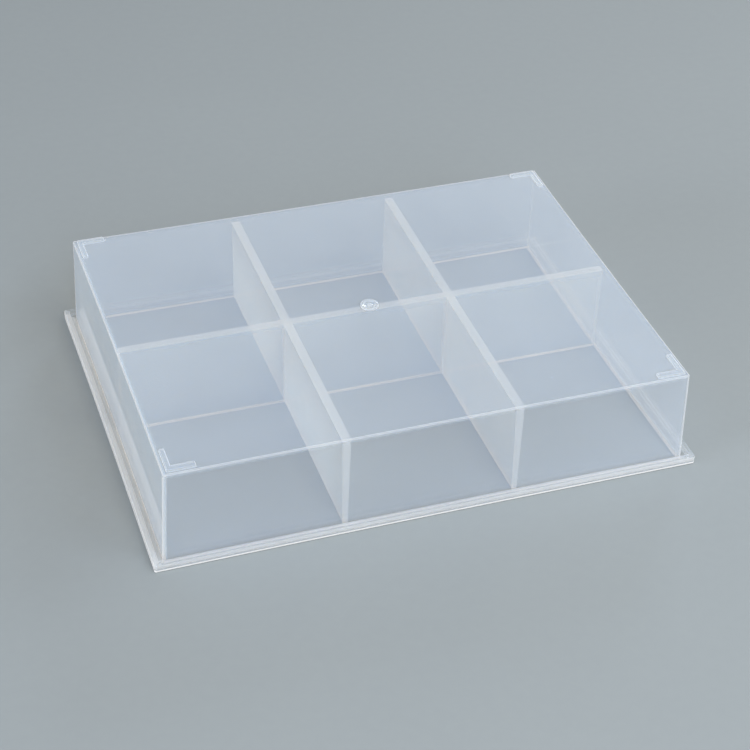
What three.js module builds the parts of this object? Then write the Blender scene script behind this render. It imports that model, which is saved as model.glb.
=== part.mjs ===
// Six-cavity soap mould tray: a clear polypropylene moulding with three by two cavities, lying rim down.
// Units are millimetres and +Z is up. The rim plane is z = 0 and the cavities open downwards through it.
// X runs along the three cavities, -Y is the front, and the origin is under the middle of the tray.
import * as THREE from "three";

// The box of the tray. Lengths and widths are outer sizes at the closed end.
const CLOSED_LENGTH = 180;
const CLOSED_WIDTH = 135.8;
const PANEL_TOP_Z = 35.8;
const PANEL_THICKNESS = 1.4;
const WALL_THICKNESS = 1.3;
const WALL_DRAFT = THREE.MathUtils.degToRad(1.45);

// The dividers taper from the closed panel down to their free edges at the rim plane.
const CROSS_DIVIDER_X = 29.8;
const DIVIDER_ROOT_THICKNESS = 2.5;
const DIVIDER_TIP_THICKNESS = 1.4;

// The rim: a flat flange round the open end, with an upright lip on its outer edge.
const RIM_LENGTH = 189;
const RIM_WIDTH = 144.6;
const RIM_CORNER_RADIUS = 0.6;
const FLANGE_THICKNESS = 1.3;
const LIP_TOP_Z = 3.15;
const LIP_THICKNESS = 1.7;

// The L-shaped feet on the closed panel, one near each corner.
const FOOT_HEIGHT = 0.8;
const FOOT_INSET_X = 1.3;
const FOOT_INSET_Y = 0.8;
const FOOT_LENGTH_X = 9.6;
const FOOT_LENGTH_Y = 11.2;
const FOOT_WIDTH_X = 1.8;
const FOOT_WIDTH_Y = 2.6;

// The gate mark in the middle of the closed panel: a low disc with a raised ring and a cut-off sprue nub.
const GATE_RADIUS = 3.1;
const GATE_RING_INNER_RADIUS = 2.1;
const GATE_NUB_RADIUS = 0.9;
const GATE_HEIGHT = 0.7;
const GATE_DISH_HEIGHT = 0.4;
const GATE_EDGE_ROUNDING = 0.2;
const GATE_SIDES = 48;

const PANEL_UNDERSIDE_Z = PANEL_TOP_Z - PANEL_THICKNESS;
const CORNER_ARC_STEPS = 6;

const tray = new THREE.Group();
tray.name = "soap_mould_tray";

// Half sizes of the tray's outer faces, inner faces and dividers at a height z.
function outerHalfLength(z) {
  return CLOSED_LENGTH / 2 + (PANEL_TOP_Z - z) * Math.tan(WALL_DRAFT);
}

function outerHalfWidth(z) {
  return CLOSED_WIDTH / 2 + (PANEL_TOP_Z - z) * Math.tan(WALL_DRAFT);
}

function innerHalfLength(z) {
  return outerHalfLength(z) - WALL_THICKNESS;
}

function innerHalfWidth(z) {
  return outerHalfWidth(z) - WALL_THICKNESS;
}

function dividerHalfThickness(z) {
  return THREE.MathUtils.lerp(DIVIDER_TIP_THICKNESS, DIVIDER_ROOT_THICKNESS, z / PANEL_UNDERSIDE_Z) / 2;
}

// Natural polypropylene: nearly clear, with a faint cool tint and a gloss surface.
function clearPolypropylene() {
  return new THREE.MeshStandardMaterial({
    color: new THREE.Color(0.8, 0.85, 0.9),
    roughness: 0.22,
    metalness: 0,
    transparent: true,
    opacity: 0.4,
  });
}

// Thick edges gather light, so they look whiter than the walls.
function milkyPolypropylene() {
  return new THREE.MeshStandardMaterial({
    color: new THREE.Color(0.86, 0.9, 0.94),
    roughness: 0.3,
    metalness: 0,
    transparent: true,
    opacity: 0.6,
  });
}

function addPart(name, geometry, material) {
  const mesh = new THREE.Mesh(geometry, material);
  mesh.name = name;
  tray.add(mesh);
}

// A box whose four sides may lean: each x and y bound is a function of z.
function draftedBox(bounds, lowZ, highZ) {
  const geometry = new THREE.BoxGeometry(1, 1, 1);
  const corners = geometry.getAttribute("position");
  for (let i = 0; i < corners.count; i += 1) {
    const z = corners.getZ(i) < 0 ? lowZ : highZ;
    const x = corners.getX(i) < 0 ? bounds.lowX(z) : bounds.highX(z);
    const y = corners.getY(i) < 0 ? bounds.lowY(z) : bounds.highY(z);
    corners.setXYZ(i, x, y, z);
  }
  geometry.computeVertexNormals();
  return geometry;
}

function straightBox(lowX, highX, lowY, highY, lowZ, highZ) {
  const geometry = new THREE.BoxGeometry(highX - lowX, highY - lowY, highZ - lowZ);
  geometry.translate((lowX + highX) / 2, (lowY + highY) / 2, (lowZ + highZ) / 2);
  return geometry;
}

// The same bounds on the other side of the middle plane, along x or along y.
function mirroredX(bounds) {
  return { ...bounds, lowX: (z) => -bounds.highX(z), highX: (z) => -bounds.lowX(z) };
}

function mirroredY(bounds) {
  return { ...bounds, lowY: (z) => -bounds.highY(z), highY: (z) => -bounds.lowY(z) };
}

// The closed panel carries the full outline, and the walls hang below it.
function addBasePanel() {
  const bounds = {
    lowX: (z) => -outerHalfLength(z),
    highX: outerHalfLength,
    lowY: (z) => -outerHalfWidth(z),
    highY: outerHalfWidth,
  };
  addPart("base_panel", draftedBox(bounds, PANEL_UNDERSIDE_Z, PANEL_TOP_Z), clearPolypropylene());
}

// The front and back walls run the full length and hold the corners.
function addLongWalls() {
  const back = {
    lowX: (z) => -outerHalfLength(z),
    highX: outerHalfLength,
    lowY: innerHalfWidth,
    highY: outerHalfWidth,
  };
  addPart("back_wall", draftedBox(back, 0, PANEL_UNDERSIDE_Z), clearPolypropylene());
  addPart("front_wall", draftedBox(mirroredY(back), 0, PANEL_UNDERSIDE_Z), clearPolypropylene());
}

// The end walls stand between the long ones.
function addEndWalls() {
  const right = {
    lowX: innerHalfLength,
    highX: outerHalfLength,
    lowY: (z) => -innerHalfWidth(z),
    highY: innerHalfWidth,
  };
  addPart("right_wall", draftedBox(right, 0, PANEL_UNDERSIDE_Z), clearPolypropylene());
  addPart("left_wall", draftedBox(mirroredX(right), 0, PANEL_UNDERSIDE_Z), clearPolypropylene());
}

function addLongDivider() {
  const bounds = {
    lowX: (z) => -innerHalfLength(z),
    highX: innerHalfLength,
    lowY: (z) => -dividerHalfThickness(z),
    highY: dividerHalfThickness,
  };
  addPart("long_divider", draftedBox(bounds, 0, PANEL_UNDERSIDE_Z), clearPolypropylene());
}

// Each cross divider is met by the long one halfway, so it comes as a front and a back half.
function addCrossDividers() {
  const rightBack = {
    lowX: (z) => CROSS_DIVIDER_X - dividerHalfThickness(z),
    highX: (z) => CROSS_DIVIDER_X + dividerHalfThickness(z),
    lowY: dividerHalfThickness,
    highY: innerHalfWidth,
  };
  const halves = {
    cross_divider_right_back: rightBack,
    cross_divider_right_front: mirroredY(rightBack),
    cross_divider_left_back: mirroredX(rightBack),
    cross_divider_left_front: mirroredX(mirroredY(rightBack)),
  };
  for (const [name, bounds] of Object.entries(halves)) {
    addPart(name, draftedBox(bounds, 0, PANEL_UNDERSIDE_Z), clearPolypropylene());
  }
}

// A bar along the back of the rim, with the rim's two rounded outer corners.
function backRimBar(innerY, lowZ, highZ) {
  const x = RIM_LENGTH / 2;
  const y = RIM_WIDTH / 2;
  const r = RIM_CORNER_RADIUS;
  const outline = new THREE.Shape();
  outline.moveTo(-x, innerY);
  outline.lineTo(x, innerY);
  outline.absarc(x - r, y - r, r, 0, Math.PI / 2, false);
  outline.absarc(r - x, y - r, r, Math.PI / 2, Math.PI, false);
  outline.closePath();
  const settings = { depth: highZ - lowZ, bevelEnabled: false, curveSegments: CORNER_ARC_STEPS };
  return new THREE.ExtrudeGeometry(outline, settings).translate(0, 0, lowZ);
}

// Four bars make one ring of the rim: two long ones with the corners, and two short ones between them.
function addRimRing(prefix, innerX, innerY, lowZ, highZ, material) {
  const back = backRimBar(innerY, lowZ, highZ);
  const front = back.clone().rotateZ(Math.PI);
  const right = straightBox(innerX, RIM_LENGTH / 2, -innerY, innerY, lowZ, highZ);
  const left = right.clone().rotateZ(Math.PI);
  const bars = { front, back, left, right };
  for (const [side, geometry] of Object.entries(bars)) {
    addPart(`${prefix}_${side}`, geometry, material());
  }
}

function addRimFlange() {
  addRimRing("rim_flange", outerHalfLength(0), outerHalfWidth(0), 0, FLANGE_THICKNESS, clearPolypropylene);
}

function addRimLip() {
  const innerX = RIM_LENGTH / 2 - LIP_THICKNESS;
  const innerY = RIM_WIDTH / 2 - LIP_THICKNESS;
  addRimRing("rim_lip", innerX, innerY, FLANGE_THICKNESS, LIP_TOP_Z, milkyPolypropylene);
}

// An L with its outer corner towards the tray's corner. signX and signY choose the corner.
function footOutline(signX, signY) {
  const cornerX = CLOSED_LENGTH / 2 - FOOT_INSET_X;
  const cornerY = CLOSED_WIDTH / 2 - FOOT_INSET_Y;
  const corners = [
    [cornerX, cornerY],
    [cornerX - FOOT_LENGTH_X, cornerY],
    [cornerX - FOOT_LENGTH_X, cornerY - FOOT_WIDTH_Y],
    [cornerX - FOOT_WIDTH_X, cornerY - FOOT_WIDTH_Y],
    [cornerX - FOOT_WIDTH_X, cornerY - FOOT_LENGTH_Y],
    [cornerX, cornerY - FOOT_LENGTH_Y],
  ];
  return new THREE.Shape(corners.map(([x, y]) => new THREE.Vector2(signX * x, signY * y)));
}

function addCornerFeet() {
  for (const [sideY, signY] of [["front", -1], ["back", 1]]) {
    for (const [sideX, signX] of [["left", -1], ["right", 1]]) {
      const settings = { depth: FOOT_HEIGHT, bevelEnabled: false };
      const geometry = new THREE.ExtrudeGeometry(footOutline(signX, signY), settings);
      geometry.translate(0, 0, PANEL_TOP_Z);
      addPart(`corner_foot_${sideY}_${sideX}`, geometry, milkyPolypropylene());
    }
  }
}

// The disc turned about its own axis, from the panel's face up to the ring, across the dish and onto the nub.
function addGateMark() {
  const profile = [
    [0, 0],
    [GATE_RADIUS, 0],
    [GATE_RADIUS, GATE_HEIGHT - GATE_EDGE_ROUNDING],
    [GATE_RADIUS - GATE_EDGE_ROUNDING, GATE_HEIGHT],
    [GATE_RING_INNER_RADIUS + GATE_EDGE_ROUNDING, GATE_HEIGHT],
    [GATE_RING_INNER_RADIUS, GATE_DISH_HEIGHT],
    [GATE_NUB_RADIUS, GATE_DISH_HEIGHT],
    [GATE_NUB_RADIUS - GATE_EDGE_ROUNDING, GATE_HEIGHT - GATE_EDGE_ROUNDING],
    [0, GATE_HEIGHT - GATE_EDGE_ROUNDING],
  ];
  const points = profile.map(([radius, height]) => new THREE.Vector2(radius, height));
  const geometry = new THREE.LatheGeometry(points, GATE_SIDES);
  geometry.rotateX(Math.PI / 2);
  geometry.translate(0, 0, PANEL_TOP_Z);
  addPart("gate_mark", geometry, milkyPolypropylene());
}

addBasePanel();
addLongWalls();
addEndWalls();
addLongDivider();
addCrossDividers();
addRimFlange();
addRimLip();
addCornerFeet();
addGateMark();

export default tray;
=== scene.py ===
import math

import bmesh
import bpy
from mathutils import Matrix, Vector


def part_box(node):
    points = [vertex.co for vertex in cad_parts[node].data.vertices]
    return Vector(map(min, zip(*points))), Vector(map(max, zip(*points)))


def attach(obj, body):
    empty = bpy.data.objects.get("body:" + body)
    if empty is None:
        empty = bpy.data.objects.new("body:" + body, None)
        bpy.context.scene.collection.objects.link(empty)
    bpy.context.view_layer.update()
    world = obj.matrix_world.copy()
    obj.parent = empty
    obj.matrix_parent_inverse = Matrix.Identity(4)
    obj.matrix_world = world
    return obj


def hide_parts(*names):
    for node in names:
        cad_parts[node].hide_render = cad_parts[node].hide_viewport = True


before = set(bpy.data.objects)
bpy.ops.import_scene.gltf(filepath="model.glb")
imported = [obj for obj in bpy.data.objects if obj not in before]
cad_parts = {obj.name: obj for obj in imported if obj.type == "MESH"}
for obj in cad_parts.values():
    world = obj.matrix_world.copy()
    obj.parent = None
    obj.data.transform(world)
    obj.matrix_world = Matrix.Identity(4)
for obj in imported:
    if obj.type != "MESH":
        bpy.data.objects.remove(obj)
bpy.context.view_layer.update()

MM = 0.001
ROOT_BODY = "root"

# How the visual model departs from the straight CAD solids: a fitted warp, then gaps and roundings.
BOW_X = 0.27 * MM
BOW_Y = 0.37 * MM
PULL = 0.6 * MM
SPLAY = 0.5 * MM
DIVIDER_SHIFT = 0.7 * MM
SEAM_GAP = 0.03 * MM
CORNER_ROUNDING = 0.4 * MM
PANEL_EDGE_ROUNDING = 0.35 * MM
FREE_EDGE_ROUNDING = 0.2 * MM
ROOT_FILLET = 0.35 * MM
END_FILLET = 0.2 * MM
CAVITY_FILLET = 0.6 * MM
CORNER_FILLET = 0.25 * MM
LIP_ROUNDING = 0.25 * MM
FLANGE_ROUNDING = 0.2 * MM
RIM_CORNER_RADIUS = 0.6 * MM
RIM_INNER_RADIUS = 0.5 * MM
FOOT_ROUNDING = 0.38 * MM
FOOT_WIDTH_X = 1.8 * MM
FOOT_WIDTH_Y = 2.6 * MM
GATE_ROUNDING = 0.2 * MM

# Heights of the strips that look brighter or darker than the sheet beside them, through painted highlight or
# painted shade.
PANEL_STRIP = 0.65 * MM
FLANGE_STRIP = 0.75 * MM
FRONT_STRIP = 0.5 * MM
SIDE_STRIP = 0.35 * MM

# How finely the meshes are divided.
PANEL_STEPS = 12
LONG_STEPS = 24
END_STEPS = 18
CROSS_STEPS = 9
HEIGHT_STEPS = 8
CLOSEST_STEP = 0.02 * MM
FILLET_SHARES = (0.08, 0.25, 0.5, 1.0)
BEVEL_SEGMENTS = 3
FOOT_SEGMENTS = 2
ARC_STEPS = 8
SPAN_STEPS = 12
LONG_SPAN = 10
GATE_STEPS = 64
SHARP_ANGLE = math.radians(50)
# Where the middle point of a rounded edge lies, as a share of its radius from either side.
ARC_MIDDLE = 0.3

# Cloudiness and grain of the plastic.
PLAIN_MOTTLE = 0.08
CLOUD_SCALE = 38.0
CLOUD_DETAIL = 4.0
CLOUD_ROUGHNESS = 0.55
CLOUD_RANGE = (0.3, 0.7)
GRAIN_SCALE = 900.0
GRAIN_DETAIL = 3.0
GRAIN_STRENGTH = 0.02
GRAIN_DEPTH = 0.2 * MM
SPECK_SCALE = 90.0
SPECK_RANGE = (0.010, 0.020)
ROUGHNESS_LOW = 0.75
ROUGHNESS_HIGH = 1.25
EVEN_BLEND = 0.5

# Broad faces: the shares of red, green and blue light scattered, and how they shine, glow and are specked.
SHEET_VEILS = (0.060, 0.084, 0.128)
# The far walls' veils are a little thinner than the others: part of the painted shade on the far walls.
FAR_VEILS = (0.060, 0.079, 0.115)
SHEET_ROUGHNESS = 0.035
SHEET_GLOW = 0.3
SHEET_SPECKS = 3.0

# How the veil and the gloss change with the slant at which a skin is seen.
LEAST_FACING = 0.2
VEIL_EXPONENT = 1.4
SCHLICK_EXPONENT = 5.0
GLOSS_FACING = 0.035
GLOSS_RISE = 0.9
SCATTER_ROUGHNESS = 0.5

# Camera: direction, roll, the point it looks at, distance and lens.
CAMERA_AZIMUTH = math.radians(20.102)
CAMERA_ELEVATION = math.radians(37.354)
CAMERA_ROLL = math.radians(2.250)
CAMERA_TARGET = Vector((-1.969, -13.730, 16.0)) * MM
CAMERA_DISTANCE = 672.49 * MM
CAMERA_LENS = 92.887
CAMERA_SENSOR = 36.0
CAMERA_NEAR = 0.01
CAMERA_FAR = 20.0

# Studio: the softboxes are (name, position, size, watts, colour) and all point at the tray.
WHITE = (1.0, 1.0, 1.0)
SOFTBOXES = (
    ("top_softbox", (0.0, 0.0, 1.6), 0.9, 5.5, WHITE),
    ("right_softbox", (0.85, -0.75, 1.1), 0.7, 8.6, WHITE),
    ("right_low_softbox", (1.3, 0.0, 0.8), 0.7, 4.6, WHITE),
    ("front_softbox", (0.1, -1.5, 0.95), 1.0, 20.4, WHITE),
    ("left_low_softbox", (-1.6, -0.3, 0.4), 0.6, 15.0, (0.92, 0.95, 1.0)),
    ("far_right_softbox", (1.1, 1.6, 0.8), 0.5, 10.7, WHITE),
)
WORLD_COLOUR = (0.96, 0.98, 1.0, 1.0)
WORLD_STRENGTH = 0.15
FLOOR_HALF = 3.0
FLOOR_DROP = 0.05 * MM
PAPER_DARK = (0.286, 0.320, 0.340, 1.0)
PAPER_LIGHT = (0.316, 0.352, 0.370, 1.0)
FIBRE_SCALE = 260.0
FIBRE_DETAIL = 5.0
FIBRE_STRENGTH = 0.08
FIBRE_DEPTH = 0.3 * MM
PAPER_CLOUD_SCALE = 9.0
PAPER_CLOUD_DETAIL = 3.0
PAPER_ROUGHNESS = 0.85
PAPER_SHEEN = 0.2
LIGHT_BOUNCES = 10
CLEAR_BOUNCES = 48

# Sizes read from the frame.
panel_low, panel_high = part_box("base_panel")
right_low, right_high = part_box("right_wall")
back_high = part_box("back_wall")[1]
cross_low, cross_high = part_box("cross_divider_right_back")
flange_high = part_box("rim_flange_back")[1]
lip_low, lip_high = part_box("rim_lip_back")

PANEL_TOP = panel_high[2]
ROOT_Z = panel_low[2]
WALL_TOP = ROOT_Z - SEAM_GAP
DRAFT_SLOPE = (right_high[0] - panel_high[0]) / ROOT_Z
WALL = panel_high[0] - right_low[0]
DIVIDER_X = (cross_low[0] + cross_high[0]) / 2
DIVIDER_ROOT = (cross_high[0] - cross_low[0]) / 2
DIVIDER_TIP = cross_low[1]
RIM_X = flange_high[0]
RIM_Y = flange_high[1]
FLANGE_TOP = flange_high[2]
LIP_TOP = lip_high[2]
LIP_THICKNESS = lip_high[1] - lip_low[1]
NEAR_ROOT = tuple(ROOT_FILLET * share for share in FILLET_SHARES)
NEAR_CAVITY = tuple(CAVITY_FILLET * share for share in FILLET_SHARES)


def outer_x(z):
    return right_high[0] - DRAFT_SLOPE * z


def outer_y(z):
    return back_high[1] - DRAFT_SLOPE * z


def bowed(p):
    """A point of the straight tray moved to where the visual model has it.

    Each side bows inwards a little, the free edge of the right side more than its closed end.
    The free edge of the left side splays outwards towards the front.
    The long divider stands a little behind the middle.
    """
    x, y, z = p
    across = 1 - min(1, (y / outer_y(0)) ** 2)
    along = 1 - min(1, (x / outer_x(0)) ** 2)
    side = x / outer_x(0)
    free = 1 - z / PANEL_TOP
    x -= BOW_X * across * side
    if side > 0:
        x -= PULL * across * free * side
    else:
        x += SPLAY * (1 - y / RIM_Y) / 2 * free * side
    y *= 1 - BOW_Y / outer_y(0) * along
    if z < ROOT_Z:
        y += DIVIDER_SHIFT * across
    return Vector((x, y, z))


def fillet(distance, radius):
    """How far a fillet stands out at a distance from the corner it fills."""
    if distance >= radius:
        return 0.0
    return radius - math.sqrt(radius * radius - (radius - distance) ** 2)


def steps(low, high, count, near_low=(), near_high=()):
    """Evenly spaced values, with closer ones at given distances from either end."""
    values = [low + (high - low) * i / count for i in range(count + 1)]
    values += [low + d for d in near_low]
    values += [high - d for d in near_high]
    values = sorted(values)
    kept = [values[0]]
    for value in values[1:]:
        if value - kept[-1] > CLOSEST_STEP:
            kept.append(value)
    return kept


# ---------------------------------------------------------------- shader nodes


def new_material(name):
    material = bpy.data.materials.new(name)
    material.use_nodes = True
    material.node_tree.nodes.clear()
    return material, material.node_tree


def set_input(tree, socket, value):
    """Links a socket to an input, or writes a number into it."""
    if isinstance(value, (int, float)):
        socket.default_value = value
    else:
        tree.links.new(value, socket)


def math_node(tree, operation, a, b):
    node = tree.nodes.new("ShaderNodeMath")
    node.operation = operation
    set_input(tree, node.inputs[0], a)
    set_input(tree, node.inputs[1], b)
    return node.outputs[0]


def noise_node(tree, place, scale, detail, roughness=0.5):
    node = tree.nodes.new("ShaderNodeTexNoise")
    node.inputs["Scale"].default_value = scale
    node.inputs["Detail"].default_value = detail
    node.inputs["Roughness"].default_value = roughness
    tree.links.new(place, node.inputs["Vector"])
    return node.outputs["Fac"]


def range_node(tree, value, low, high, to_low, to_high):
    node = tree.nodes.new("ShaderNodeMapRange")
    node.inputs["From Min"].default_value = low
    node.inputs["From Max"].default_value = high
    node.inputs["To Min"].default_value = to_low
    node.inputs["To Max"].default_value = to_high
    tree.links.new(value, node.inputs["Value"])
    return node.outputs["Result"]


def bump_node(tree, height, strength, distance):
    node = tree.nodes.new("ShaderNodeBump")
    node.inputs["Strength"].default_value = strength
    node.inputs["Distance"].default_value = distance
    tree.links.new(height, node.inputs["Height"])
    return node.outputs["Normal"]


def mix_node(tree, share, first, second):
    node = tree.nodes.new("ShaderNodeMixShader")
    set_input(tree, node.inputs["Fac"], share)
    tree.links.new(first, node.inputs[1])
    tree.links.new(second, node.inputs[2])
    return node.outputs[0]


def finish_material(tree, shader):
    out = tree.nodes.new("ShaderNodeOutputMaterial")
    tree.links.new(shader, out.inputs["Surface"])


# ---------------------------------------------------------------- plastic


def way_through(tree, place, slant, cloud, mottle, thickness, specks):
    """How much plastic is looked through: more at a slant, scaled from the table up to the panel."""
    facing = math_node(tree, "MAXIMUM", math_node(tree, "SUBTRACT", 1.0, slant), LEAST_FACING)
    cosine = math_node(tree, "POWER", facing, VEIL_EXPONENT)
    swing = range_node(tree, cloud, *CLOUD_RANGE, 1.0 - mottle, 1.0 + mottle)
    parts = tree.nodes.new("ShaderNodeSeparateXYZ")
    tree.links.new(place, parts.inputs[0])
    depth = range_node(tree, parts.outputs["Z"], 0.0, ROOT_Z, *thickness)
    way = math_node(tree, "MULTIPLY", math_node(tree, "DIVIDE", swing, cosine), depth)
    if specks:
        dots = tree.nodes.new("ShaderNodeTexVoronoi")
        dots.inputs["Scale"].default_value = SPECK_SCALE
        tree.links.new(place, dots.inputs["Vector"])
        way = math_node(
            tree, "ADD", way, range_node(tree, dots.outputs["Distance"], *SPECK_RANGE, specks, 0.0)
        )
    return way


def veil_colours(tree, veils, way, tone):
    """The share of light the veil scatters, the veil's colour and the colour of what passes through."""
    passed = [math_node(tree, "POWER", 1.0 - veil, way) for veil in veils]
    haze = [math_node(tree, "SUBTRACT", 1.0, share) for share in passed]
    colour = tree.nodes.new("ShaderNodeCombineColor")
    clear_colour = tree.nodes.new("ShaderNodeCombineColor")
    for channel in range(3):
        shade = math_node(tree, "MULTIPLY", haze[channel], tone)
        tree.links.new(math_node(tree, "DIVIDE", shade, haze[2]), colour.inputs[channel])
        tree.links.new(math_node(tree, "DIVIDE", passed[channel], passed[2]), clear_colour.inputs[channel])
    return haze[2], colour.outputs[0], clear_colour.outputs[0]


def scatter(tree, colour, normal, glow_share):
    """Light thrown back by the veil, and light that glows through it."""
    body = tree.nodes.new("ShaderNodeBsdfPrincipled")
    body.inputs["Specular IOR Level"].default_value = 0.0
    body.inputs["Roughness"].default_value = SCATTER_ROUGHNESS
    tree.links.new(colour, body.inputs["Base Color"])
    tree.links.new(normal, body.inputs["Normal"])
    glow = tree.nodes.new("ShaderNodeBsdfTranslucent")
    tree.links.new(colour, glow.inputs["Color"])
    return mix_node(tree, glow_share, body.outputs[0], glow.outputs[0])


def gloss(tree, below, slant, rough, normal, share):
    """Schlick's form of Fresnel, the same from both sides of the skin."""
    rise = math_node(tree, "MULTIPLY", math_node(tree, "POWER", slant, SCHLICK_EXPONENT), GLOSS_RISE * share)
    shine = tree.nodes.new("ShaderNodeBsdfGlossy")
    tree.links.new(rough, shine.inputs["Roughness"])
    tree.links.new(normal, shine.inputs["Normal"])
    return mix_node(tree, math_node(tree, "ADD", rise, GLOSS_FACING * share), below, shine.outputs[0])


def plastic(
    name,
    veils,
    roughness,
    glow_share,
    gloss_share=1.0,
    mottle=PLAIN_MOTTLE,
    specks=0.0,
    thickness=(1.0, 1.0),
    tone=1.0,
):
    """Clear polypropylene as a skin: a gloss over a veil that thickens where it is seen at a slant.

    veils holds the shares of red, green and blue light that one skin scatters when seen square on.
    thickness scales the veil, from the table up to the closed panel. tone below 1 makes the veil grey.
    """
    material, tree = new_material(name)
    place = tree.nodes.new("ShaderNodeTexCoord").outputs["Object"]
    cloud = noise_node(tree, place, CLOUD_SCALE, CLOUD_DETAIL, CLOUD_ROUGHNESS)
    grain = noise_node(tree, place, GRAIN_SCALE, GRAIN_DETAIL)
    normal = bump_node(tree, grain, GRAIN_STRENGTH, GRAIN_DEPTH)
    facing = tree.nodes.new("ShaderNodeLayerWeight")
    facing.inputs["Blend"].default_value = EVEN_BLEND
    slant = facing.outputs["Facing"]

    way = way_through(tree, place, slant, cloud, mottle, thickness, specks)
    most, colour, clear_colour = veil_colours(tree, veils, way, tone)
    clear = tree.nodes.new("ShaderNodeBsdfTransparent")
    tree.links.new(clear_colour, clear.inputs["Color"])
    veiled = mix_node(tree, most, clear.outputs[0], scatter(tree, colour, normal, glow_share))
    rough = range_node(tree, cloud, *CLOUD_RANGE, roughness * ROUGHNESS_LOW, roughness * ROUGHNESS_HIGH)
    finish_material(tree, gloss(tree, veiled, slant, rough, normal, gloss_share))
    return material


def sheet(name, veils, thickness):
    """The plastic of a broad face."""
    return plastic(name, veils, SHEET_ROUGHNESS, SHEET_GLOW, specks=SHEET_SPECKS, thickness=thickness)


# Every veil and thickness here is fitted to the photograph. The far walls came out with about half the veil
# of the near ones, although the real tray is one plastic all round: their thinner veil is painted shade. The
# near walls' veil, heavier at the table than at the panel, paints light into their lower part.
sheet_plastic = sheet("clear_sheet", SHEET_VEILS, (1.2, 1.2))
far_shaded_plastic = sheet("painted_shade_far_wall", FAR_VEILS, (0.59, 0.55))
near_plastic = sheet("clear_near_wall", SHEET_VEILS, (1.18, 0.88))
divider_plastic = sheet("clear_divider", SHEET_VEILS, (1.06, 1.98))

# The plastics of roots, edges and other narrow faces, in the order of their slots. Their veils are fitted
# to how bright the photograph shows these faces.
NARROW_PLASTICS = (
    plastic("milky_root", (0.22, 0.25, 0.29), 0.15, 0.45, 0.1),
    # Painted highlight: the bright strips along the panel's top edge and the flange's outer face.
    plastic("painted_highlight_edge", (0.31, 0.34, 0.40), 0.25, 0.5, 0.15),
    plastic("clear_joint", (0.010, 0.014, 0.021), 0.15, 0.5, 0.02),
    plastic("free_edge", (0.36, 0.37, 0.38), 0.25, 0.15, 0.15),
    plastic("soft_edge", (0.11, 0.13, 0.165), 0.2, 0.4, 0.15),
    plastic("foot_edge", (0.16, 0.185, 0.22), 0.2, 0.4, 0.1),
    # Painted highlight: the bright line along the foot of the flange.
    plastic("painted_highlight_base", (0.62, 0.62, 0.62), 0.25, 0.0, 0.02, mottle=0.04),
    # Painted shade: the back and right sides of the rim, clearer than the front and left.
    plastic("painted_shade_far_rim", (0.040, 0.050, 0.066), 0.25, 0.4, 0.08),
    # Painted contact shadow: a dark grey veil on the flange's lowest rounding, where it meets the table.
    plastic("painted_contact_shadow", (0.75, 0.75, 0.75), 0.3, 0.0, 0.02, tone=0.3),
)
SHEET, ROOT, EDGE, JOINT, FREE, SOFT, FOOT, BASE_HIGHLIGHT, FAR, CONTACT_SHADOW = range(10)

RIM_SIDES = ("front", "back", "left", "right")
# The dish and nub inside the gate mark: share of its radius, share of its height, slot of the next strip.
GATE_DISH = (
    (0.72, 1.0, ROOT),
    (0.66, 0.72, ROOT),
    (0.60, 0.57, SHEET),
    (0.34, 0.50, SHEET),
    (0.27, 0.57, ROOT),
    (0.24, 0.72, ROOT),
    (0.16, 0.80, ROOT),
)


# ---------------------------------------------------------------- meshes


def finish_piece(name, bm, bevel_width, segments, replaced, bevel_slot=-1, broad=sheet_plastic):
    for vert in bm.verts:
        vert.co = bowed(vert.co)
    bmesh.ops.recalc_face_normals(bm, faces=bm.faces)
    mesh = bpy.data.meshes.new(name)
    bm.to_mesh(mesh)
    bm.free()
    for material in (broad, *NARROW_PLASTICS):
        mesh.materials.append(material)
    piece = bpy.data.objects.new(name, mesh)
    bpy.context.scene.collection.objects.link(piece)
    if bevel_width:
        bevel = piece.modifiers.new("rounding", "BEVEL")
        bevel.limit_method = "WEIGHT"
        bevel.width = bevel_width
        bevel.segments = segments
        bevel.material = bevel_slot
        bevel.harden_normals = True
    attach(piece, ROOT_BODY)
    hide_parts(*replaced)
    return piece


def block_quads(nu, nv, nw):
    """The quads of a gridded block's six sides, as the side's name and four grid corners."""
    quads = []
    for side, i in (("low_x", 0), ("high_x", nu)):
        for j in range(nv):
            for k in range(nw):
                quads.append((side, [(i, j, k), (i, j + 1, k), (i, j + 1, k + 1), (i, j, k + 1)]))
    for side, j in (("low_y", 0), ("high_y", nv)):
        for i in range(nu):
            for k in range(nw):
                quads.append((side, [(i, j, k), (i + 1, j, k), (i + 1, j, k + 1), (i, j, k + 1)]))
    for side, k in (("low_z", 0), ("high_z", nw)):
        for i in range(nu):
            for j in range(nv):
                quads.append((side, [(i, j, k), (i + 1, j, k), (i + 1, j + 1, k), (i, j + 1, k)]))
    return quads


def mark_edges(bm, weights, sides, rounded):
    """Marks each edge between two sides as one to round or one to keep sharp."""
    wanted = {frozenset(pair) for pair in rounded}
    for edge in bm.edges:
        touching = frozenset(sides[face] for face in edge.link_faces)
        if touching in wanted:
            edge[weights] = 1.0
        elif len(touching) == 2:
            edge.smooth = False


def grid_block(
    name, us, vs, ws, place, slots, rounded, bevel_width, bevel_slot, broad=sheet_plastic
):
    """A six-sided block whose sides are grids. place turns (u, v, w) into a point.

    slots gives the material slot of a named side. rounded lists the pairs of sides whose edge is rounded.
    """
    bm = bmesh.new()
    weights = bm.edges.layers.float.new("bevel_weight_edge")
    verts = {}
    sides = {}
    for side, corners in block_quads(len(us) - 1, len(vs) - 1, len(ws) - 1):
        for i, j, k in corners:
            if (i, j, k) not in verts:
                verts[i, j, k] = bm.verts.new(place(us[i], vs[j], ws[k]))
        face = bm.faces.new([verts[corner] for corner in corners])
        face.material_index = slots.get(side, SHEET)
        face.smooth = True
        sides[face] = side
    mark_edges(bm, weights, sides, rounded)
    return finish_piece(name, bm, bevel_width, BEVEL_SEGMENTS, (name,), bevel_slot, broad)


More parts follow.
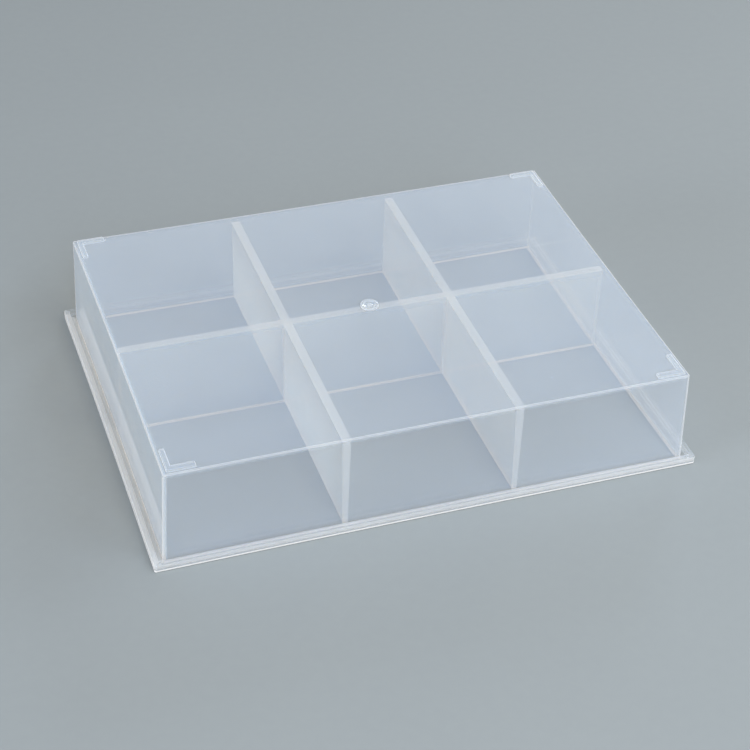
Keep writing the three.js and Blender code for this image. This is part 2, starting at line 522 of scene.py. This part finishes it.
def make_panel():
    def point(u, v, z):
        return (u * outer_x(z), v * outer_y(z), z)

    grid = steps(-1.0, 1.0, PANEL_STEPS)
    heights = [ROOT_Z, PANEL_TOP - PANEL_STRIP, PANEL_TOP]
    ends = ("low_x", "high_x")
    flanks = ("low_y", "high_y")
    rounded = [("high_z", side) for side in ends + flanks]
    rounded += [(end, flank) for end in ends for flank in flanks]
    # The panel's rounded top edges and the strip below them get the bright edge plastic: a painted
    # highlight.
    piece = grid_block("base_panel", grid, grid, heights, point, {}, rounded, PANEL_EDGE_ROUNDING, EDGE)
    for side in piece.data.polygons:
        upright = abs(side.normal.z) < 0.5
        if upright and side.center.z > PANEL_TOP - PANEL_STRIP:
            side.material_index = EDGE


def paint_lighter_foot_strip(piece, axis, sign, height, slot):
    """Gives a wall's outer face another, milkier slot just above the flange: painted light along the wall's
    foot.
    """
    for side in piece.data.polygons:
        above = side.center.z - FLANGE_TOP
        outward = side.normal[axis] * sign > 0.5
        if outward and 0 < above < height:
            side.material_index = slot


def make_long_wall(name, sign):
    """The front or back wall. v runs from its inner face to its outer one."""

    def point(u, v, z):
        inner = outer_y(z) - WALL - fillet(WALL_TOP - z, CAVITY_FILLET)
        y = inner + (outer_y(z) - inner) * v
        return (u * outer_x(z), sign * y, z)

    front = sign < 0
    across = steps(-1.0, 1.0, LONG_STEPS)
    near_foot = (FLANGE_TOP, FLANGE_TOP + FRONT_STRIP)
    heights = steps(0.0, WALL_TOP, HEIGHT_STEPS, near_foot, NEAR_CAVITY)
    rounded = [("low_x", "high_y"), ("high_x", "high_y")]
    end_slot = ROOT if front else JOINT
    slots = {"high_z": JOINT, "low_z": FREE, "low_x": end_slot, "high_x": end_slot}
    broad = near_plastic if front else far_shaded_plastic
    piece = grid_block(
        name, across, [0.0, 1.0], heights, point, slots, rounded, CORNER_ROUNDING, ROOT, broad
    )
    # Painted light along the front wall's foot.
    if front:
        paint_lighter_foot_strip(piece, 1, sign, FRONT_STRIP, SOFT)


def make_end_wall(name, sign):
    """The left or right wall, which stands between the long ones.

    u runs from its inner face to its outer one.
    """

    def point(u, v, z):
        reach = outer_y(z) - WALL - SEAM_GAP
        y = v * reach
        corner = fillet(reach - abs(y), CORNER_FILLET)
        inner = outer_x(z) - WALL - fillet(WALL_TOP - z, CAVITY_FILLET) - corner
        return (sign * (inner + (outer_x(z) - inner) * u), y, z)

    left = sign < 0
    reach = outer_y(ROOT_Z) - WALL
    near = tuple(d / reach for d in NEAR_CAVITY)
    across = steps(-1.0, 1.0, END_STEPS, near, near)
    near_foot = (FLANGE_TOP, FLANGE_TOP + SIDE_STRIP)
    heights = steps(0.0, WALL_TOP, HEIGHT_STEPS, near_foot, NEAR_CAVITY)
    end_slot = SOFT if left else JOINT
    slots = {"high_z": JOINT, "low_z": FREE, "low_y": end_slot, "high_y": end_slot}
    rounded = [("low_z", "low_x")]
    broad = near_plastic if left else far_shaded_plastic
    piece = grid_block(
        name, [0.0, 1.0], across, heights, point, slots, rounded, FREE_EDGE_ROUNDING, FREE, broad
    )
    # Painted light along the left wall's foot.
    if left:
        paint_lighter_foot_strip(piece, 0, sign, SIDE_STRIP, ROOT)


def divider_half(z):
    """Half a divider's thickness at a height, with the fillet at its root."""
    share = z / ROOT_Z
    return DIVIDER_TIP + (DIVIDER_ROOT - DIVIDER_TIP) * share + fillet(WALL_TOP - z, ROOT_FILLET)


def make_long_divider():
    def point(u, v, z):
        reach = outer_x(z) - WALL - SEAM_GAP
        x = u * reach
        half = divider_half(z) + fillet(reach - abs(x), END_FILLET)
        return (x, v * half, z)

    near = tuple(d / outer_x(ROOT_Z) for d in NEAR_ROOT)
    heights = steps(0.0, WALL_TOP, HEIGHT_STEPS, near_high=NEAR_ROOT)
    along = steps(-1.0, 1.0, END_STEPS, near, near)
    slots = {"high_z": ROOT, "low_z": FREE, "low_x": ROOT, "high_x": SOFT}
    rounded = [("low_z", "low_y"), ("low_z", "high_y")]
    grid_block(
        "long_divider",
        along,
        [-1.0, 1.0],
        heights,
        point,
        slots,
        rounded,
        FREE_EDGE_ROUNDING,
        FREE,
        divider_plastic,
    )


def make_cross_divider(name, sign_x, sign_y):
    def point(u, v, z):
        start = divider_half(z) + SEAM_GAP
        stop = outer_y(z) - WALL - SEAM_GAP
        y = start + (stop - start) * v
        half = divider_half(z) + fillet(min(stop - y, y - start), END_FILLET)
        return (sign_x * DIVIDER_X + u * half, sign_y * y, z)

    near = tuple(d / outer_y(ROOT_Z) for d in NEAR_ROOT)
    heights = steps(0.0, WALL_TOP, HEIGHT_STEPS, near_high=NEAR_ROOT)
    along = steps(0.0, 1.0, CROSS_STEPS, near, near)
    slots = {"high_z": ROOT, "low_z": FREE, "low_y": ROOT, "high_y": ROOT}
    rounded = [("low_z", "low_x"), ("low_z", "high_x")]
    grid_block(
        name, [-1.0, 1.0], along, heights, point, slots, rounded, FREE_EDGE_ROUNDING, FREE, divider_plastic
    )


def rounded_loop(half_x, half_y, radius):
    """Points round a rectangle with rounded corners, and along its sides so that they can bow."""
    points = []
    for quarter, (side_x, side_y) in enumerate(((1, 1), (-1, 1), (-1, -1), (1, -1))):
        centre = Vector((side_x * (half_x - radius), side_y * (half_y - radius)))
        for i in range(ARC_STEPS + 1):
            angle = math.pi / 2 * (quarter + i / ARC_STEPS)
            points.append(centre + radius * Vector((math.cos(angle), math.sin(angle))))
    full = []
    for i, point in enumerate(points):
        after = points[(i + 1) % len(points)]
        full.append(point)
        if (after - point).length > LONG_SPAN * radius:
            full += [point.lerp(after, s / SPAN_STEPS) for s in range(1, SPAN_STEPS)]
    return full


def rim_slot(slot, point):
    """The slot of a rim face at a point. The back and right sides are clearer, as the far walls are: painted
    shade on the far sides of one plastic.
    """
    behind = point.y > outer_y(0) and point.x > -outer_x(0)
    beside = point.x > outer_x(0) and point.y > -outer_y(0)
    if slot != JOINT and (behind or beside):
        return FAR
    # On the left the soft strips take the milkier root plastic: partly the longer way through the lip seen
    # along its length, partly painted light in the shaded channel. The painted contact shadow is left out
    # there.
    left = point.x < -outer_x(0)
    if left and slot == CONTACT_SHADOW:
        return SOFT
    if left and slot == SOFT:
        return ROOT
    return slot


def make_ring(name, profile, replaced):
    """A closed ring round the tray.

    Each profile point is (half size along x, along y, corner radius, height, slot of the next strip).
    """
    bm = bmesh.new()
    loops = []
    for half_x, half_y, radius, z, _slot in profile:
        points = rounded_loop(half_x, half_y, radius)
        loops.append([bm.verts.new((point.x, point.y, z)) for point in points])
    count = len(loops[0])
    for a, loop in enumerate(loops):
        after = loops[(a + 1) % len(loops)]
        for i in range(count):
            j = (i + 1) % count
            face = bm.faces.new((loop[i], loop[j], after[j], after[i]))
            face.material_index = rim_slot(profile[a][4], face.calc_center_median())
            face.smooth = True
    for edge in bm.edges:
        if edge.calc_face_angle(0) > SHARP_ANGLE:
            edge.smooth = False
    finish_piece(name, bm, 0.0, 0, replaced)


def outside(inset, z, slot):
    """A profile point set in from the rim's outer sides."""
    return (RIM_X - inset, RIM_Y - inset, RIM_CORNER_RADIUS - inset, z, slot)


def inside(inset, z, slot):
    """A profile point set in from the lip's inner sides, towards the rim's outer ones."""
    reach = LIP_THICKNESS - inset
    return (RIM_X - reach, RIM_Y - reach, RIM_INNER_RADIUS + inset, z, slot)


def beside_walls(z, slot):
    """A profile point beside the walls' outer faces."""
    return (outer_x(0) + SEAM_GAP, outer_y(0) + SEAM_GAP, RIM_INNER_RADIUS, z, slot)


def make_flange():
    r = FLANGE_ROUNDING
    middle = ARC_MIDDLE * r
    profile = [
        beside_walls(0.0, SOFT),
        # Painted contact shadow on the lowest rounding.
        outside(r, 0.0, CONTACT_SHADOW),
        outside(middle, middle, CONTACT_SHADOW),
        # Painted highlight along the flange's foot.
        outside(0.0, r, BASE_HIGHLIGHT),
        # Painted highlight on the flange's outer face, up to its top.
        outside(0.0, FLANGE_STRIP, EDGE),
        outside(0.0, FLANGE_TOP, ROOT),
        inside(0.0, FLANGE_TOP, SOFT),
        beside_walls(FLANGE_TOP, JOINT),
    ]
    make_ring("rim_flange", profile, [f"rim_flange_{side}" for side in RIM_SIDES])


def make_lip():
    r = LIP_ROUNDING
    middle = ARC_MIDDLE * r
    base = FLANGE_TOP + SEAM_GAP
    profile = [
        inside(0.0, base, ROOT),
        outside(0.0, base, ROOT),
        outside(0.0, LIP_TOP - r, SOFT),
        outside(middle, LIP_TOP - middle, SOFT),
        outside(r, LIP_TOP, SOFT),
        inside(r, LIP_TOP, SOFT),
        inside(middle, LIP_TOP - middle, SOFT),
        inside(0.0, LIP_TOP - r, JOINT),
    ]
    make_ring("rim_lip", profile, [f"rim_lip_{side}" for side in RIM_SIDES])


def make_foot(node):
    """An L whose corner sits in the panel's corner."""
    low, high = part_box(node)
    sx = -1 if low[0] < 0 else 1
    sy = -1 if low[1] < 0 else 1
    near_x, far_x = sorted((abs(low[0]), abs(high[0])))
    near_y, far_y = sorted((abs(low[1]), abs(high[1])))
    outline = [
        (far_x, far_y),
        (near_x, far_y),
        (near_x, far_y - FOOT_WIDTH_Y),
        (far_x - FOOT_WIDTH_X, far_y - FOOT_WIDTH_Y),
        (far_x - FOOT_WIDTH_X, near_y),
        (far_x, near_y),
    ]
    bm = bmesh.new()
    weights = bm.edges.layers.float.new("bevel_weight_edge")
    base = [bm.verts.new((sx * x, sy * y, low[2] + SEAM_GAP)) for x, y in outline]
    top = [bm.verts.new((sx * x, sy * y, high[2])) for x, y in outline]
    bm.faces.new(base).material_index = JOINT
    bm.faces.new(top)
    for i in range(len(outline)):
        j = (i + 1) % len(outline)
        bm.faces.new((base[i], base[j], top[j], top[i])).material_index = ROOT
    for edge in bm.edges:
        if any(vert in top for vert in edge.verts):
            edge[weights] = 1.0
    finish_piece(node, bm, FOOT_ROUNDING, FOOT_SEGMENTS, (node,), bevel_slot=FOOT)


def gate_profile(radius, height):
    """The gate mark from its outer side to its nub, as (radius, height, slot of the next strip)."""
    r = GATE_ROUNDING
    middle = ARC_MIDDLE * r
    outer = [
        (radius, 0.0, ROOT),
        (radius, height - r, ROOT),
        (radius - middle, height - middle, ROOT),
        (radius - r, height, SHEET),
    ]
    return outer + [(radius * across, height * up, slot) for across, up, slot in GATE_DISH]


def make_gate():
    low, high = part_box("gate_mark")
    base = low[2] + SEAM_GAP
    profile = gate_profile((high[0] - low[0]) / 2, high[2] - low[2])
    bm = bmesh.new()
    rings = []
    for distance, up, _slot in profile:
        loop = []
        for i in range(GATE_STEPS):
            angle = 2 * math.pi * i / GATE_STEPS
            loop.append(bm.verts.new((distance * math.cos(angle), distance * math.sin(angle), base + up)))
        rings.append(loop)
    for (_distance, _up, slot), loop, after in zip(profile, rings, rings[1:]):
        for i in range(GATE_STEPS):
            j = (i + 1) % GATE_STEPS
            face = bm.faces.new((loop[i], loop[j], after[j], after[i]))
            face.material_index = slot
            face.smooth = True
    bm.faces.new(rings[0])
    bm.faces.new(rings[-1]).material_index = ROOT
    finish_piece("gate_mark", bm, 0.0, 0, ("gate_mark",))


# ---------------------------------------------------------------- floor, light and camera


def paper():
    material, tree = new_material("studio_paper")
    place = tree.nodes.new("ShaderNodeTexCoord").outputs["Object"]
    fibre = noise_node(tree, place, FIBRE_SCALE, FIBRE_DETAIL)
    cloud = noise_node(tree, place, PAPER_CLOUD_SCALE, PAPER_CLOUD_DETAIL)
    both = math_node(tree, "ADD", fibre, cloud)
    colour = tree.nodes.new("ShaderNodeMix")
    colour.data_type = "RGBA"
    colour.inputs["A"].default_value = PAPER_DARK
    colour.inputs["B"].default_value = PAPER_LIGHT
    tree.links.new(math_node(tree, "MULTIPLY", both, 0.5), colour.inputs["Factor"])
    body = tree.nodes.new("ShaderNodeBsdfPrincipled")
    body.inputs["Roughness"].default_value = PAPER_ROUGHNESS
    body.inputs["Specular IOR Level"].default_value = PAPER_SHEEN
    tree.links.new(colour.outputs["Result"], body.inputs["Base Color"])
    tree.links.new(bump_node(tree, fibre, FIBRE_STRENGTH, FIBRE_DEPTH), body.inputs["Normal"])
    finish_material(tree, body.outputs[0])
    return material


def make_floor():
    bm = bmesh.new()
    bmesh.ops.create_grid(bm, x_segments=1, y_segments=1, size=FLOOR_HALF)
    mesh = bpy.data.meshes.new("floor")
    bm.to_mesh(mesh)
    bm.free()
    mesh.materials.append(paper())
    floor = bpy.data.objects.new("floor", mesh)
    floor.location = (0.0, 0.0, -FLOOR_DROP)
    bpy.context.scene.collection.objects.link(floor)


def add_softbox(name, position, size, watts, colour):
    """A square soft light that points at the tray."""
    data = bpy.data.lights.new(name, "AREA")
    data.shape = "SQUARE"
    data.size = size
    data.energy = watts
    data.color = colour
    lamp = bpy.data.objects.new(name, data)
    lamp.location = position
    lamp.rotation_euler = (-Vector(position)).to_track_quat("-Z", "Y").to_euler()
    bpy.context.scene.collection.objects.link(lamp)


def make_light():
    world = bpy.data.worlds.new("studio")
    world.use_nodes = True
    bpy.context.scene.world = world
    background = world.node_tree.nodes["Background"]
    background.inputs["Color"].default_value = WORLD_COLOUR
    background.inputs["Strength"].default_value = WORLD_STRENGTH
    for softbox in SOFTBOXES:
        add_softbox(*softbox)


def make_camera():
    """Looks at the tray from the front and left, from above, with a slight roll."""
    level = math.cos(CAMERA_ELEVATION)
    forward = Vector(
        (math.sin(CAMERA_AZIMUTH) * level, math.cos(CAMERA_AZIMUTH) * level, -math.sin(CAMERA_ELEVATION))
    )
    data = bpy.data.cameras.new("camera")
    data.sensor_width = CAMERA_SENSOR
    data.lens = CAMERA_LENS
    data.clip_start = CAMERA_NEAR
    data.clip_end = CAMERA_FAR
    camera = bpy.data.objects.new("camera", data)
    camera.rotation_mode = "QUATERNION"
    turn = forward.to_track_quat("-Z", "Y").to_matrix() @ Matrix.Rotation(CAMERA_ROLL, 3, "Z")
    camera.rotation_quaternion = turn.to_quaternion()
    camera.location = CAMERA_TARGET - forward * CAMERA_DISTANCE
    bpy.context.scene.collection.objects.link(camera)
    bpy.context.scene.camera = camera


make_panel()
make_long_wall("front_wall", -1)
make_long_wall("back_wall", 1)
make_end_wall("left_wall", -1)
make_end_wall("right_wall", 1)
make_long_divider()
for side_x, sign_x in (("left", -1), ("right", 1)):
    for side_y, sign_y in (("front", -1), ("back", 1)):
        make_cross_divider(f"cross_divider_{side_x}_{side_y}", sign_x, sign_y)
make_flange()
make_lip()
for side_y in ("front", "back"):
    for side_x in ("left", "right"):
        make_foot(f"corner_foot_{side_y}_{side_x}")
make_gate()
make_floor()
make_light()
make_camera()

scene = bpy.context.scene
scene.view_settings.view_transform = "Standard"
scene.cycles.transparent_max_bounces = CLEAR_BOUNCES
scene.cycles.max_bounces = LIGHT_BOUNCES
scene.cycles.use_denoising = True
